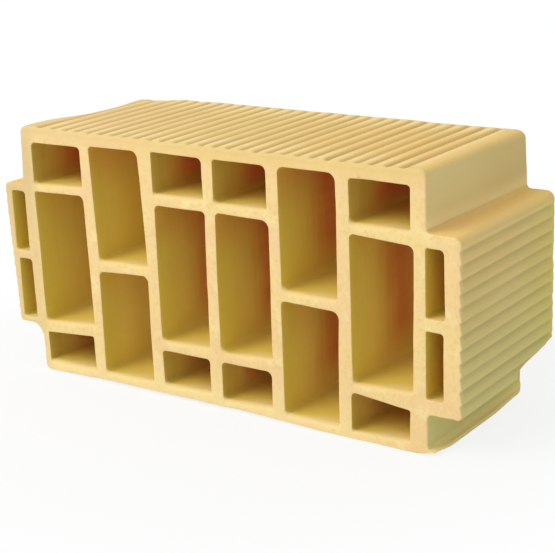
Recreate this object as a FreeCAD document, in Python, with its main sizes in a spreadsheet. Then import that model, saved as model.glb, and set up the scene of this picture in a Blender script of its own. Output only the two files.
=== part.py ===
import FreeCAD, Part
import Sketcher
import math
import os

NODE = "clay_block"

# Driving sizes in millimetres (the two counts are plain numbers). The block lies with its cells level:
# the section is drawn across X and up Z, and the clay column is cut to length along Y.
SIZES = {
    # Body of the block
    "length": 145,
    "height": 200,
    "main_width": 356,
    # Walls round the outside, and the webs between the cells
    "side_wall": 10.5,
    "top_wall": 10,
    "bottom_wall": 10,
    "upright_web": 10,
    "level_web": 10,
    # Cells: the columns share the width, and the tall cells take the height that the small ones leave
    "upper_cell_height": 30,
    "lower_cell_height": 27,
    "split_cell_height": 82,
    # Bearing noses: steps above and below the right one, and the walls of both round their cells
    "upper_step": 42.5,
    "lower_step": 30,
    "nose_cell_width": 13,
    "right_nose_wall": 13,
    "right_nose_roof": 10,
    "right_nose_floor": 12.5,
    "left_nose_wall": 11,
    "left_nose_roof": 5,
    "left_nose_floor": 4.5,
    # Lower edges: the clay spread to a foot along the right one, and the left wall is set in below its nose
    "foot_reach": 6.5,
    "foot_height": 3,
    "foot_corner": 1.2,
    "foot_fillet": 4,
    "left_lower_inset": 4,
    # Corner radii of the section
    "cell_corner": 4,
    "nose_cell_corner": 3.5,
    "outer_corner": 6,
    "nose_corner": 4,
    "right_nose_upper_corner": 6.5,
    "step_corner": 3,
    "left_upper_step_corner": 5,
    "left_lower_step_corner": 12,
    "step_land": 2,
    # Flutes of the top and bottom faces
    "flute_count": 28,
    "flute_margin": 18.5,
    "flute_radius": 3.2,
    "flute_depth": 1.6,
    # Flutes of the nose sides
    "nose_flute_count": 12,
    "nose_flute_margin": 10,
    "nose_flute_radius": 3,
    "nose_flute_depth": 1.4,
}
# Columns of cells in the body of the block, the same number on each side of the middle web
COLUMNS = 6


class Size:
    """A number together with the sheet formula that gives it."""

    def __init__(self, value, formula):
        self.value = value
        self.formula = formula

    def combine(self, other, sign, value):
        right = other.formula if isinstance(other, Size) else str(other)
        return Size(value, f"({self.formula} {sign} {right})")

    def __add__(self, other):
        return self.combine(other, "+", self.value + number(other))

    def __sub__(self, other):
        return self.combine(other, "-", self.value - number(other))

    def __mul__(self, other):
        return self.combine(other, "*", self.value * number(other))

    def __truediv__(self, other):
        return self.combine(other, "/", self.value / number(other))

    def __neg__(self):
        return Size(-self.value, f"(0 - {self.formula})")


def number(item):
    return item.value if isinstance(item, Size) else item


def smaller(one, other):
    return Size(min(one.value, other.value), f"min({one.formula}; {other.formula})")


GROUND = Size(0, "0")


def make_sheet(doc):
    """Writes the driving sizes into a sheet and returns them by name."""
    sheet = doc.addObject("Spreadsheet::Sheet", "Sizes")
    for row, (alias, value) in enumerate(SIZES.items(), start=1):
        sheet.set(f"A{row}", alias)
        sheet.set(f"B{row}", str(value))
        sheet.setAlias(f"B{row}", alias)
    doc.recompute()
    return {alias: Size(sheet.get(alias), f"Sizes.{alias}") for alias in SIZES}


def origin_feature(body, role):
    return next(item for item in body.Origin.OriginFeatures if item.Role == role)


def section_sketch(body, name):
    """Empty sketch on the plane of the section, half way along the block."""
    sketch = body.newObject("Sketcher::SketchObject", name)
    sketch.AttachmentSupport = [(origin_feature(body, "XZ_Plane"), "")]
    sketch.MapMode = "FlatFace"
    return sketch


def drive(sketch, relations, dimensions):
    """Adds the free relations, then the (name, size, constraint) dimensions, each tied to the sheet."""
    sketch.addConstraint(relations)
    first = sketch.ConstraintCount
    sketch.addConstraint([constraint for _, _, constraint in dimensions])
    for index, (name, size, _) in enumerate(dimensions, start=first):
        sketch.renameConstraint(index, name)
        sketch.setExpression(f"Constraints.{name}", size.formula)


def rounded_outline(sketch, name, corners):
    """Closed run of level and upright lines with an arc at each (x, z, radius) corner."""
    points = [FreeCAD.Vector(x.value, z.value, 0) for x, z, _ in corners]
    count = len(corners)
    starts = []
    ends = []
    arcs = []
    for index, (_, _, radius) in enumerate(corners):
        corner = points[index]
        inward = (corner - points[index - 1]).normalize()
        outward = (points[(index + 1) % count] - corner).normalize()
        start = corner - inward * radius.value
        end = corner + outward * radius.value
        middle = start + outward * radius.value
        turns_left = inward.cross(outward).z > 0
        first, last = (start, end) if turns_left else (end, start)
        angles = [math.atan2(spot.y - middle.y, spot.x - middle.x) for spot in (first, last)]
        if angles[1] < angles[0]:
            angles[1] += 2 * math.pi
        circle = Part.Circle(middle, FreeCAD.Vector(0, 0, 1), radius.value)
        geometry = sketch.addGeometry(Part.ArcOfCircle(circle, *angles), False)
        arcs.append((geometry, 1 if turns_left else 2, 2 if turns_left else 1))
        starts.append(start)
        ends.append(end)
    lines = []
    for index in range(count):
        segment = Part.LineSegment(ends[index], starts[(index + 1) % count])
        lines.append(sketch.addGeometry(segment, False))
    relations = []
    dimensions = []
    for index, (x, z, radius) in enumerate(corners):
        arc, arc_start, arc_end = arcs[index]
        line = lines[index]
        relations.append(Sketcher.Constraint("Tangent", lines[index - 1], 2, arc, arc_start))
        relations.append(Sketcher.Constraint("Tangent", arc, arc_end, line, 1))
        rounding = Sketcher.Constraint("Radius", arc, radius.value)
        dimensions.append((f"{name}_radius_{index}", radius, rounding))
        if corners[(index + 1) % count][0] is x:
            relations.append(Sketcher.Constraint("Vertical", line))
            place = Sketcher.Constraint("DistanceX", -1, 1, line, 1, x.value)
            dimensions.append((f"{name}_across_{index}", x, place))
        else:
            relations.append(Sketcher.Constraint("Horizontal", line))
            place = Sketcher.Constraint("DistanceY", -1, 1, line, 1, z.value)
            dimensions.append((f"{name}_level_{index}", z, place))
    drive(sketch, relations, dimensions)


def cut_through(body, sketch, name):
    """Pocket of the sketch through the whole length, both ways from the middle."""
    pocket = body.newObject("PartDesign::Pocket", name)
    pocket.Profile = sketch
    pocket.Type = "ThroughAll"
    pocket.SideType = "Symmetric"
    return pocket


def nose_cell_levels(s):
    """Bottom and top of the two cells that share the height of a nose."""
    low = s["lower_step"] + s["right_nose_floor"]
    high = s["height"] - s["upper_step"] - s["right_nose_roof"]
    cell_height = (high - low - s["level_web"]) / 2
    return [(low, low + cell_height), (high - cell_height, high)]


def nose_levels(s, side):
    """Bottom and top of a nose, from its cells and the walls under and over them."""
    cells = nose_cell_levels(s)
    return cells[0][0] - s[f"{side}_nose_floor"], cells[-1][1] + s[f"{side}_nose_roof"]


def nose_reach(s, side):
    return s["nose_cell_width"] + s[f"{side}_nose_wall"]


def draw_section(sketch, s):
    """Outer outline, counterclockwise from the bottom left corner: a box with a stepped nose on each side."""
    right = s["main_width"] / 2
    left = -right
    right_tip = right + nose_reach(s, "right")
    left_tip = left - nose_reach(s, "left")
    left_foot = left + s["left_lower_inset"]
    right_foot = right + s["foot_reach"]
    right_low, right_high = nose_levels(s, "right")
    left_low, left_high = nose_levels(s, "left")
    outer = s["outer_corner"]
    nose = s["nose_corner"]
    step = s["step_corner"]
    # The wide rounds beside the left nose leave a level land before the nose's own corners
    land_limit = nose_reach(s, "left") - nose - s["step_land"]
    left_upper = smaller(s["left_upper_step_corner"], land_limit)
    left_lower = smaller(s["left_lower_step_corner"], land_limit)
    corners = [
        (left_foot, GROUND, outer),
        (right_foot, GROUND, s["foot_corner"]),
        (right_foot, s["foot_height"], s["foot_corner"]),
        (right, s["foot_height"], s["foot_fillet"]),
        (right, right_low, step),
        (right_tip, right_low, nose),
        (right_tip, right_high, s["right_nose_upper_corner"]),
        (right, right_high, step),
        (right, s["height"], outer),
        (left, s["height"], outer),
        (left, left_high, left_upper),
        (left_tip, left_high, nose),
        (left_tip, left_low, nose),
        (left_foot, left_low, left_lower),
    ]
    rounded_outline(sketch, "outline", corners)


def right_columns(s):
    """Columns of cells right of the middle web, as name: [(left, right, bottom, top, radius), ...]."""
    low = s["bottom_wall"]
    high = s["height"] - s["top_wall"]
    lower_top = low + s["lower_cell_height"]
    upper_bottom = high - s["upper_cell_height"]
    split_top = low + s["split_cell_height"]
    three_levels = [
        (low, lower_top),
        (lower_top + s["level_web"], upper_bottom - s["level_web"]),
        (upper_bottom, high),
    ]
    split_levels = [(low, split_top), (split_top + s["level_web"], high)]
    side = s["main_width"] / 2
    clear_width = s["main_width"] - s["side_wall"] * 2 - s["upright_web"] * (COLUMNS - 1)
    width = clear_width / COLUMNS
    inner = s["upright_web"] / 2
    split = inner + width + s["upright_web"]
    outer = split + width + s["upright_web"]
    # The nose cells start in line with the side of the body
    columns = {
        "inner": (inner, inner + width, three_levels, s["cell_corner"]),
        "split": (split, split + width, split_levels, s["cell_corner"]),
        "outer": (outer, outer + width, three_levels, s["cell_corner"]),
        "nose": (side, side + s["nose_cell_width"], nose_cell_levels(s), s["nose_cell_corner"]),
    }
    cells = {}
    for name, (left, right, levels, radius) in columns.items():
        cells[name] = [(left, right, bottom, top, radius) for bottom, top in levels]
    return cells


def cut_right_cells(body, s):
    """One pocket for each column of cells."""
    pockets = []
    for name, cells in right_columns(s).items():
        sketch = section_sketch(body, f"{name}_cells_sketch")
        for index, (left, right, bottom, top, radius) in enumerate(cells):
            corners = [(left, bottom), (right, bottom), (right, top), (left, top)]
            rounded_outline(sketch, f"cell_{index}", [(x, z, radius) for x, z in corners])
        pockets.append(cut_through(body, sketch, f"{name}_cells"))
    return pockets


def cut_flutes(body, name, axis, across, level, radius, count, run):
    """Row of round-bottomed flutes that starts at (across, level) and spreads over run along the axis."""
    sketch = section_sketch(body, f"{name}_sketch")
    middle = FreeCAD.Vector(across.value, level.value, 0)
    circle = sketch.addGeometry(Part.Circle(middle, FreeCAD.Vector(0, 0, 1), radius.value), False)
    dimensions = [
        ("radius", radius, Sketcher.Constraint("Radius", circle, radius.value)),
        ("across", across, Sketcher.Constraint("DistanceX", -1, 1, circle, 3, across.value)),
        ("level", level, Sketcher.Constraint("DistanceY", -1, 1, circle, 3, level.value)),
    ]
    drive(sketch, [], dimensions)
    pocket = cut_through(body, sketch, f"{name}_first")
    pattern = body.newObject("PartDesign::LinearPattern", name)
    pattern.Originals = [pocket]
    pattern.Direction = (sketch, [axis])
    pattern.setExpression("Length", run.formula)
    pattern.setExpression("Occurrences", count.formula)
    body.Tip = pattern


def check_volume(body, before, what):
    body.Document.recompute()
    after = body.Shape.Volume
    if not after < before:
        raise RuntimeError(f"{what} took no clay away")
    return after


def make_block(doc, s):
    body = doc.addObject("PartDesign::Body", NODE)
    body.Label = NODE

    section = section_sketch(body, "section_sketch")
    draw_section(section, s)
    column = body.newObject("PartDesign::Pad", "clay_column")
    column.Profile = section
    column.SideType = "Symmetric"
    column.setExpression("Length", s["length"].formula)
    doc.recompute()
    volume = body.Shape.Volume

    right_cells = cut_right_cells(body, s)
    volume = check_volume(body, volume, "the right cells")
    left_cells = body.newObject("PartDesign::Mirrored", "left_cells")
    left_cells.Originals = right_cells
    left_cells.MirrorPlane = (origin_feature(body, "YZ_Plane"), [""])
    body.Tip = left_cells
    volume = check_volume(body, volume, "the left cells")

    half = s["main_width"] / 2
    face_rise = s["flute_radius"] - s["flute_depth"]
    face_start = s["flute_margin"] - half
    face_run = s["main_width"] - s["flute_margin"] * 2
    for name, level in (("top_flutes", s["height"] + face_rise), ("bottom_flutes", -face_rise)):
        cut_flutes(body, name, "H_Axis", face_start, level, s["flute_radius"], s["flute_count"], face_run)
        volume = check_volume(body, volume, name)

    side_rise = s["nose_flute_radius"] - s["nose_flute_depth"]
    for side, sign in (("right", 1), ("left", -1)):
        across = (half + nose_reach(s, side) + side_rise) * sign
        low, high = nose_levels(s, side)
        start = low + s["nose_flute_margin"]
        run = high - s["nose_flute_margin"] - start
        name = f"{side}_nose_flutes"
        count = s["nose_flute_count"]
        cut_flutes(body, name, "V_Axis", across, start, s["nose_flute_radius"], count, run)
        volume = check_volume(body, volume, name)

    # The origin is under the middle of the whole width, noses included
    centring = (nose_reach(s, "left") - nose_reach(s, "right")) / 2
    body.setExpression("Placement.Base.x", centring.formula)
    doc.recompute()
    return body


def check_document(doc, body):
    for item in doc.Objects:
        if "Invalid" in item.State or "Error" in item.State:
            raise RuntimeError(f"{item.Name} failed: {item.State}")
    if body.Shape.isNull() or not body.Shape.isValid():
        raise RuntimeError("the block has no valid shape")
    if len(body.Shape.Solids) != 1:
        raise RuntimeError("the block is not one solid")


doc = FreeCAD.newDocument("hollow_clay_block")
sizes = make_sheet(doc)
block = make_block(doc, sizes)
check_document(doc, block)
os.makedirs("parts", exist_ok=True)
block.Shape.exportStep(f"parts/{block.Label}.step")
box = block.Shape.BoundBox
print(f"{block.Label}: {box.XLength:.1f} x {box.YLength:.1f} x {box.ZLength:.1f} mm")
print(f"{block.Label}: {block.Shape.Volume / 1e6:.3f} litres of clay")
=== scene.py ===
import itertools
import math

import bpy
import numpy as np
from mathutils import Matrix, Vector
from mathutils.geometry import delaunay_2d_cdt


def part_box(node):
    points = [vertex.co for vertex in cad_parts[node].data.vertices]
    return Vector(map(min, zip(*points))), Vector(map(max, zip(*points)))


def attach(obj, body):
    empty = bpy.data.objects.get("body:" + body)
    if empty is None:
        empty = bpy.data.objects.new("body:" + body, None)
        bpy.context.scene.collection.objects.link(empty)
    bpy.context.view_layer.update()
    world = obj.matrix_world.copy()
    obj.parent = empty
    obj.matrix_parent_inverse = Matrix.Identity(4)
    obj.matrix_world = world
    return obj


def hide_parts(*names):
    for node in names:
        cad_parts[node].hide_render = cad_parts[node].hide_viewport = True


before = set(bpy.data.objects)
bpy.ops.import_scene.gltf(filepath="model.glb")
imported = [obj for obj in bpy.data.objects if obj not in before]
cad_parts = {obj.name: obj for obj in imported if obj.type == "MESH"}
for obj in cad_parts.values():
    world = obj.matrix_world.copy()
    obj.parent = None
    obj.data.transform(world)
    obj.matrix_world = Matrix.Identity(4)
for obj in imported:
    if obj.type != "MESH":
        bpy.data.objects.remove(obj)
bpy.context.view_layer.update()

NODE = "clay_block"
MM = 0.001
LOW, HIGH = (np.array(corner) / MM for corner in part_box(NODE))

# Section of the block in millimetres: X runs across it, Z up, and the cells run along Y
FRONT, BACK = LOW[1], HIGH[1]
LENGTH = BACK - FRONT
HEIGHT = HIGH[2]
LEFT_REACH = 24
RIGHT_REACH = 26
LEFT_SIDE = LOW[0] + LEFT_REACH
RIGHT_SIDE = HIGH[0] - RIGHT_REACH
MAIN_WIDTH = RIGHT_SIDE - LEFT_SIDE
LEFT_FOOT = LEFT_SIDE + 4
RIGHT_FOOT = RIGHT_SIDE + 6.5
FOOT_HEIGHT = 3
RIGHT_NOSE = (30, 157.5)
LEFT_NOSE = (38, 152.5)
SIDE_WALL = 10.5
UPRIGHT_WEB = 10
COLUMNS = 6
CELL_WIDTH = (MAIN_WIDTH - 2 * SIDE_WALL - (COLUMNS - 1) * UPRIGHT_WEB) / COLUMNS
NOSE_CELL_WIDTH = 13
THREE_LEVELS = ((10, 37), (47, 150), (160, 190))
SPLIT_LEVELS = ((10, 92), (102, 190))
NOSE_LEVELS = ((42.5, 90), (100, 147.5))
SPLIT_COLUMNS = (1, 4)
SMALL_CELL = 40

# Corner radii
OUTER_CORNER = 6
NOSE_CORNER = 4
RIGHT_NOSE_UPPER_CORNER = 6.5
STEP_CORNER = 3
LEFT_UPPER_STEP = 5
LEFT_LOWER_STEP = 12
FOOT_CORNER = 1.2
FOOT_FILLET = 4
# The die left the cells' corners unequal: from the bottom left counterclockwise
CELL_CORNERS = (3.2, 2.6, 5, 3.4)
NOSE_CELL_CORNERS = (2, 2, 2.6, 1.6)
CORNER_VARIATION = 0.08

# Flutes
FLUTE_COUNT = 28
FLUTE_MARGIN = 18.5
FLUTE_DEPTH = 1.6
FLUTE_CROWN = 0.3
FLUTE_GROOVE_SHARE = 0.72
NOSE_FLUTE_COUNT = 12
NOSE_FLUTE_MARGIN = 10
NOSE_FLUTE_DEPTH = 1.3
NOSE_GROOVE_DEPTH = 0.5
# How far a flute strays from its even place, and between which shares its depth varies
FLUTE_WANDER = 0.5
FLUTE_STRENGTH = (0.8, 1.1)
# The flutes of the noses are lopsided: each band swells to a ridge and steps back below it
LAP_SHARE = 0.24
# Painted shade darkens each of those bands upwards: evenly, and more from this part of its height on
LAP_SHADE_EVEN = 0.62
LAP_SHADE_EDGE = 0.38
LAP_SHADE_EDGE_START = 0.6
# From where to where behind a cut end a flute reaches its full depth, and its share of that at the end
TOP_RUNOUT = (1, 5, 0.1)
UNDER_RUNOUT = (0, 10, 0)
RIGHT_RUNOUT = (0, 8, 0.85)
LEFT_RUNOUT = (0, 8, 0.4)
# How much shallower the flutes are at the back end, and over which length
FLUTE_BACK_FADE = 0.7
FLUTE_BACK_LENGTH = 16

# Spacing of the mesh
FLUTE_STEP = 1.05
PLAIN_STEP = 4
CELL_STEP = 4.6
ARC_STEP = 1.3
FEWEST_ARC_STEPS = 3
RIM_STEPS = 4
LENGTH_STEPS = 25
# An extra row of points follows each arris at this share of the length
END_PART = 0.018
CAP_STEP = 3.4
CAP_JITTER = 0.25
CAP_CLEARANCE = 1.6
CAP_MERGE = 1e-7
# How near a point has to be to count as on a face, and how far a region reaches over its edge
ON_FACE = 1e-6
OVERLAP = 1

# Radii of the soft arrises at the cut ends
SIDE_RIM = 0.9
TOP_RIM = 3.0
UNDER_RIM = 0.15
CELL_RIM = 0.8
CELL_LEFT_RIM = 0.3
CELL_FLOOR_RIM = 3.4
NOSE_CELL_RIM = 0.8
RIM_VARIATION = 0.3
RIM_WAVELENGTH = 14
# The widest they get: a multiple of the radius and an addition, or these where the clay is thin
RIM_LIMIT = (1.4, 0.9)
CELL_RIM_LIMIT = (1.15, 0.4)
THIN_WALL_RIM = 1.2
FOOT_RIM = 0.4
# Clay that the arrises of the cells leave over the underside
UNDERSIDE_CLEARANCE = 4
# Nicks in the arrises
NICK_COUNT = 34
CELL_NICK_COUNT = 2
NICK_SPREAD = (1.5, 4.5)
NICK_DEPTH = (0.3, 1.4)
# How far the cream of the cut end reaches along the walls
CUT_WIDTH = 1.2
TOP_CUT_WIDTH = 14
FLOOR_CUT_WIDTH = 0.8
CELL_LEFT_CUT_WIDTH = 0.2

# Waves of the skin and of the cell walls, drawn out along the block, and those of the cut ends
WAVE_STRETCH = np.array([1, 0.3, 1])
SKIN_WAVE = 0.35
SKIN_WAVELENGTH = 22
CELL_WAVE = 0.5
CELL_WAVELENGTH = 28
CELL_WAVE_START = 10
CAP_WAVE = 0.5
CAP_WAVELENGTH = 70
CAP_GRAIN = 0.18
CAP_GRAIN_SIZE = 7
CUT_DEPTH = CAP_WAVE + CAP_GRAIN
# The webs waver, and lean about this share of the height
SECTION_WARP = 0.6
WARP_WAVELENGTHS = (55, 45)
LEAN = 1.8
LEAN_PIVOT = 0.75
# The left side leans: its upper part outwards, its lower part inwards, and the tip of its nose with it
LEFT_TOP_LEAN = -2.5
LEFT_STEP_LEAN = -4.3
LEFT_LOWER_LEAN = 0.5
LEFT_TIP_LEAN = 4.5
LEFT_TIP_CURVE = 1.5
LEFT_LEAN_REACH = 60
# The arris at the top left slumps towards the back, between these shares of the length
SLUMP_DEPTH = 5
SLUMP_SPREAD = 14
SLUMP_WAY = np.array([0.35, -0.94])
SLUMP_RISE = (0.1, 0.65)
SLUMP_FALL = (0.7, 1)
SLUMP_FALL_SHARE = 0.4
# The arris at the back of the top is worn down near its left end
DIP_DEPTH = 2.8
DIP_PLACE = -154
DIP_SPREAD = 16
DIP_LENGTH = 25
# The wall over the right nose leans outwards towards the back end, and the foot is worn there
RIGHT_STEP_LEAN = 4.2
RIGHT_TOP_LEAN = 2
RIGHT_LEAN_REACH = 60
FOOT_WORN_LENGTH = 60
FOOT_WORN_SHARE = 0.4
FOOT_END_LENGTH = 10
# The lower right corner of the front end is rounded upwards
FOOT_LIFT = 3.2
FOOT_LIFT_START = RIGHT_SIDE - 10
FOOT_LIFT_HEIGHT = 6
FOOT_LIFT_LENGTH = 26
# The underside is a little hollow from near its left edge to right of its middle
HOLLOW_DEPTH = 2.1
HOLLOW_RISE = (LEFT_SIDE - 10, LEFT_SIDE + 85)
HOLLOW_FALL = (28, 100)

# Corners of each cell, from the bottom left counterclockwise: how far they rose or sagged before firing,
# how far they drifted to the right, and their radii. A cell is named by its column and its place from
# below, and the noses are the columns before the first and after the last
CELL_SHAPES = {
    (-1, 0): ((0, 0, 1.3, 1.3), (-2, -1.3, -1.8, -2), NOSE_CELL_CORNERS),
    (-1, 1): ((-2.2, -2.2, -0.8, -0.8), (-4, -3.4, -3.4, -4), NOSE_CELL_CORNERS),
    (0, 0): ((-1.2, -0.5, -0.8, -4.8), (-0.5, -1.1, -1.1, -0.5), (1.2, 1.6, 1.4, 1.2)),
    (0, 1): ((-5.4, -0.7, 0, -2), (-0.8, 0.9, -1.1, -3.4), (3.2, 2.6, 4.8, 2)),
    (0, 2): ((-5.6, -3.4, -2.9, -3), (-3, -1, -1, -3), (2.8, 2.2, 3.4, 3.4)),
    (1, 0): ((-1, 0, 2, -1.5), (-0.8, 0.1, 1.3, -0.1), CELL_CORNERS),
    (1, 1): ((-2.3, -0.3, 0, -1), (1, 2, -1.6, -1.8), (3.2, 2.6, 5.6, 3)),
    (2, 0): ((0, 1.5, 0.7, 0.1), (1, -1.5, -1.5, 1), (2.8, 2, 2.8, 2.5)),
    (2, 1): ((-1.8, -0.3, 0.5, 0.8), (1.6, -0.9, 1.2, 2.1), (4, 2.6, 3.6, 3.4)),
    (2, 2): ((-0.6, 0, 0.4, 0.8), (1.5, 0.3, -0.5, 1.5), (1.8, 2, 4.4, 1.2)),
    (3, 0): ((-1.8, 0.4, 0.6, 0.5), (-0.1, -1.5, -1.5, -0.1), (3.4, 2, 5, 3.4)),
    (3, 1): ((-2.2, 0.5, 0.4, 1), (-0.6, -0.9, -0.8, 0.7), (6, 2.6, 6, 3.4)),
    (3, 2): ((-1.4, -1.2, 0, 0.6), (-0.2, -2, -2, -0.2), (3.4, 2.2, 4.6, 2)),
    (4, 0): ((-2, -1.6, -0.5, 0.8), (-0.4, -1.5, -1, -1.9), (3.2, 2.6, 6.2, 3.4)),
    (4, 1): ((-1.5, -1.5, 0.5, 0.5), (-1, -2, -3, -2), (5.5, 2.6, 6.5, 4.5)),
    (5, 0): ((-4, -1.8, -6.8, -1.5), (-1.2, -3, -3, -1.2), (2.4, 2, 1.6, 3)),
    (5, 1): ((-4.8, -3.3, -2.5, 0.3), (0.3, -0.8, 1, -2.2), CELL_CORNERS),
    (5, 2): ((-2.2, -2, -1.3, -1.7), (-1.6, -1.3, -1.3, -2.2), (3, 2.2, 2.6, 2.5)),
    (6, 0): ((-1.5, -1.5, -0.6, 0), (-1, -1, -1, -1), (2, 2, 2.6, 1.4)),
    (6, 1): ((-1.2, -1.2, 0, 0), (-1, 0.6, -0.3, -1), (2, 2, 3.5, 1.6)),
}

# How red the painted shade deep inside turns the walls of the tall cells, by column, and those of the small
# and the nose cells
DEEP_PAINTED_SHADE = (0.25, 0.1, 0.9, 1, 1, 0.9)
SMALL_DEEP_PAINTED_SHADE = 1
NOSE_DEEP_PAINTED_SHADE = {-1: 0.25, COLUMNS: 0.5}
# The red fades to this share at the floor of a cell, over this height
DEEP_PAINTED_SHADE_AT_FLOOR = 0.15
FLOOR_FADE = 28
SMALL_FLOOR_FADE = 12
# How far from a cut end the walls start to turn, and over which length
DEEP_PAINTED_SHADE_START = 34
SMALL_DEEP_PAINTED_SHADE_START = 20
NOSE_DEEP_PAINTED_SHADE_START = -4
DEEP_PAINTED_SHADE_LENGTH = 36
DEEP_PAINTED_SHADE_DELAY = {(4, 0): 5}
# How much paler painted light makes the walls on the way in: some tall cells, the nose cells and the small
# lower ones
WALL_PAINTED_LIGHT = {(1, 0): 0.65, (1, 1): 0.35, (4, 0): 0.4, (5, 1): 0.35}
NOSE_PAINTED_LIGHT = 0.5
LOW_CELL_PAINTED_LIGHT = 0.35
# How much browner painted shade under the ceiling makes the walls of the tall cells near their tops, and
# from where to where that fades
TOP_PAINTED_SHADE = {(1, 1): 0.9, (2, 1): 1, (3, 1): 1, (4, 1): 1}
USUAL_TOP_PAINTED_SHADE = 0.4
TOP_PAINTED_SHADE_REACH = (4, 46)

# A break at the back lower corner of the right nose: how far it runs along, how high it is at its front and
# at the back end, how far it reaches across there, and the slope of the face at its front
BREAK_ALONG = 55
BREAK_UP_FRONT = 8.5
BREAK_UP_BACK = 16.5
BREAK_ACROSS = 18
BREAK_FRONT_SLOPE = math.radians(25)
BREAK_ROUGHNESS = 0.6
BREAK_WAVELENGTH = 5
BREAK_FINE_SHARE = 0.5
BREAK_FINE_WAVELENGTH = 2.2

# Seeds of the noises and of the random draws
WARP_SEEDS = (1, 2)
FRONT_SEED = 21
BACK_SEED = 31
CELL_WAVE_SEED = 41
SKIN_WAVE_SEED = 51
BREAK_SEEDS = (61, 62)
RIM_SEED = 100
RANDOM = np.random.default_rng(11)

# Large odd numbers that scatter the lattice of the noise
LATTICE_AXES = np.array([374761393, 668265263, 982451653])
LATTICE_SEED = 1274126177
LATTICE_SCATTER = 1103515245


def lattice(cells, seed):
    """Repeatable value from 0 to 1 for each whole-number cell."""
    mixed = (cells * LATTICE_AXES).sum(axis=-1) + seed * LATTICE_SEED
    mixed = (mixed ^ (mixed >> 13)) * LATTICE_SCATTER
    mixed = mixed ^ (mixed >> 16)
    return (mixed & 0xFFFF) / 0xFFFF


def noise(points, wavelength, seed):
    """Smooth noise from -1 to 1 that changes over the wavelength."""
    scaled = points / wavelength
    base = np.floor(scaled).astype(np.int64)
    blend = smoothstep(0, 1, scaled - base)
    total = 0
    for corner in itertools.product((0, 1), repeat=3):
        weight = np.prod(np.where(np.array(corner), blend, 1 - blend), axis=-1)
        total += weight * lattice(base + np.array(corner), seed)
    return 2 * total - 1


def section_noise(points, wavelength, seed):
    """Noise over the plane of the section."""
    flat = np.column_stack([points[:, 0], np.zeros(len(points)), points[:, 1]])
    return noise(flat, wavelength, seed)


def smoothstep(low, high, value):
    """Smooth change from 0 at the low value to 1 at the high one."""
    part = np.clip((value - low) / (high - low), 0, 1)
    return part * part * (3 - 2 * part)


def unit(vector):
    return vector / np.linalg.norm(vector)


def rounded_loop(corners):
    """Points round a closed outline of (x, z, radius, step along the side that follows) corners."""
    places = np.array([(x, z) for x, z, _, _ in corners], float)
    arcs = []
    for index, (_, _, radius, _) in enumerate(corners):
        corner = places[index]
        back = unit(places[index - 1] - corner)
        ahead = unit(places[(index + 1) % len(corners)] - corner)
        half_angle = math.acos(np.clip(back @ ahead, -1, 1)) / 2
        centre = corner + unit(back + ahead) * radius / math.sin(half_angle)
        start = corner + back * radius / math.tan(half_angle) - centre
        end = corner + ahead * radius / math.tan(half_angle) - centre
        turn = math.atan2(start[0] * end[1] - start[1] * end[0], start @ end)
        first = math.atan2(start[1], start[0])
        steps = max(FEWEST_ARC_STEPS, math.ceil(radius * abs(turn) / ARC_STEP))
        angles = first + turn * np.arange(steps + 1) / steps
        arcs.append(centre + radius * np.column_stack([np.cos(angles), np.sin(angles)]))
    points = []
    for index, (_, _, _, step) in enumerate(corners):
        start = arcs[index][-1]
        end = arcs[(index + 1) % len(corners)][0]
        count = max(1, math.ceil(np.linalg.norm(end - start) / step))
        shares = np.arange(1, count)[:, None] / count
        points.append(arcs[index])
        points.append(start + (end - start) * shares)
    return np.vstack(points)


def outer_loop():
    """Outline of the section without its flutes, counterclockwise."""
    left_tip = LEFT_SIDE - LEFT_REACH
    right_tip = RIGHT_SIDE + RIGHT_REACH
    return rounded_loop([
        (LEFT_FOOT, 0, OUTER_CORNER, FLUTE_STEP),
        (RIGHT_FOOT, 0, FOOT_CORNER, FLUTE_STEP),
        (RIGHT_FOOT, FOOT_HEIGHT, FOOT_CORNER, FLUTE_STEP),
        (RIGHT_SIDE, FOOT_HEIGHT, FOOT_FILLET, PLAIN_STEP),
        (RIGHT_SIDE, RIGHT_NOSE[0], STEP_CORNER, PLAIN_STEP),
        (right_tip, RIGHT_NOSE[0], NOSE_CORNER, FLUTE_STEP),
        (right_tip, RIGHT_NOSE[1], RIGHT_NOSE_UPPER_CORNER, PLAIN_STEP),
        (RIGHT_SIDE, RIGHT_NOSE[1], STEP_CORNER, PLAIN_STEP),
        (RIGHT_SIDE, HEIGHT, OUTER_CORNER, FLUTE_STEP),
        (LEFT_SIDE, HEIGHT, OUTER_CORNER, PLAIN_STEP),
        (LEFT_SIDE, LEFT_NOSE[1], LEFT_UPPER_STEP, PLAIN_STEP),
        (left_tip, LEFT_NOSE[1], NOSE_CORNER, FLUTE_STEP),
        (left_tip, LEFT_NOSE[0], NOSE_CORNER, PLAIN_STEP),
        (LEFT_FOOT, LEFT_NOSE[0], LEFT_LOWER_STEP, PLAIN_STEP),
    ])


def cell_loop(cell, left, width, level):
    """Outline of one cell, counterclockwise, with its corners drifted and sagged."""
    sag, drift, radii = CELL_SHAPES[cell]
    right = left + width
    bottom, top = level
    xs = np.array([left, right, right, left]) + drift
    zs = np.array([bottom, bottom, top, top]) + sag
    varied = radii * RANDOM.uniform(1 - CORNER_VARIATION, 1 + CORNER_VARIATION, len(radii))
    return rounded_loop([(x, z, radius, CELL_STEP) for x, z, radius in zip(xs, zs, varied)])


def bend(loop):
    """The uprights lean and bow a little, as soft clay does on its way out of the die."""
    x, z = loop.T
    across = (x - LEFT_SIDE) / MAIN_WIDTH
    lean = LEAN * np.sin(2 * np.pi * np.clip(across, 0, 1)) * (LEAN_PIVOT - z / HEIGHT)
    warp_x, warp_z = (
        SECTION_WARP * section_noise(loop, wavelength, seed)
        for wavelength, seed in zip(WARP_WAVELENGTHS, WARP_SEEDS)
    )
    return np.column_stack([x + (lean + warp_x), z + warp_z])


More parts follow.
